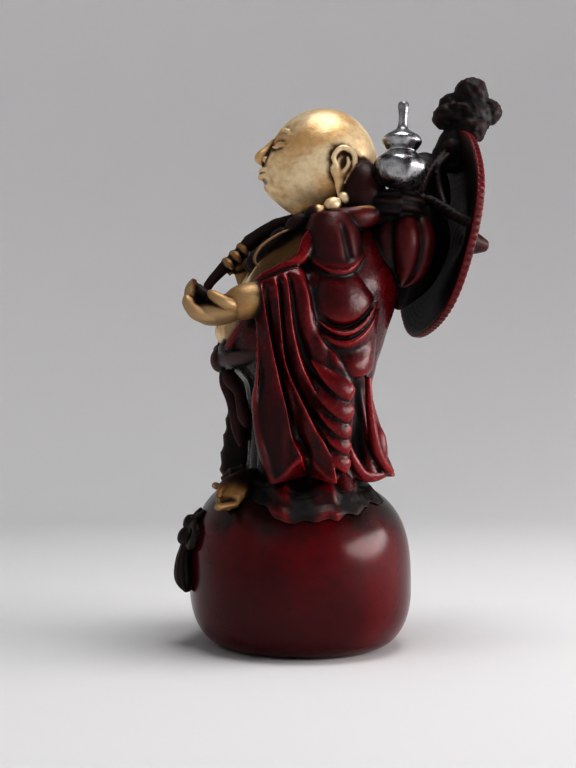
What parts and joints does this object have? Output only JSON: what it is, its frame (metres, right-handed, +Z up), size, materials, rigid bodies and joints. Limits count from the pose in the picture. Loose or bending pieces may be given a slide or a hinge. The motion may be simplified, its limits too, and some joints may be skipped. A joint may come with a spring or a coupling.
{
  "type": "budai figurine",
  "caption": "Standing lacquered resin figure of a travelling monk with staff, sack, gourd and straw hat, on a smooth rounded mound.",
  "frame": {"origin": "centre of the flat underside of the mound", "axes": "+Z up, the figure faces -Y, its left hand side is +X"},
  "size_m": [0.09, 0.1178, 0.199],
  "materials": {
    "base": "dark red gloss lacquer with black clouds",
    "figure": "red gloss lacquer, blackened recesses, gilt head, chest and hands",
    "gourd": "worn bright silver plating"
  },
  "bodies": {
    "root": {"base": "base", "figure": "figure", "gourd": "gourd"}
  },
  "joints": []
}
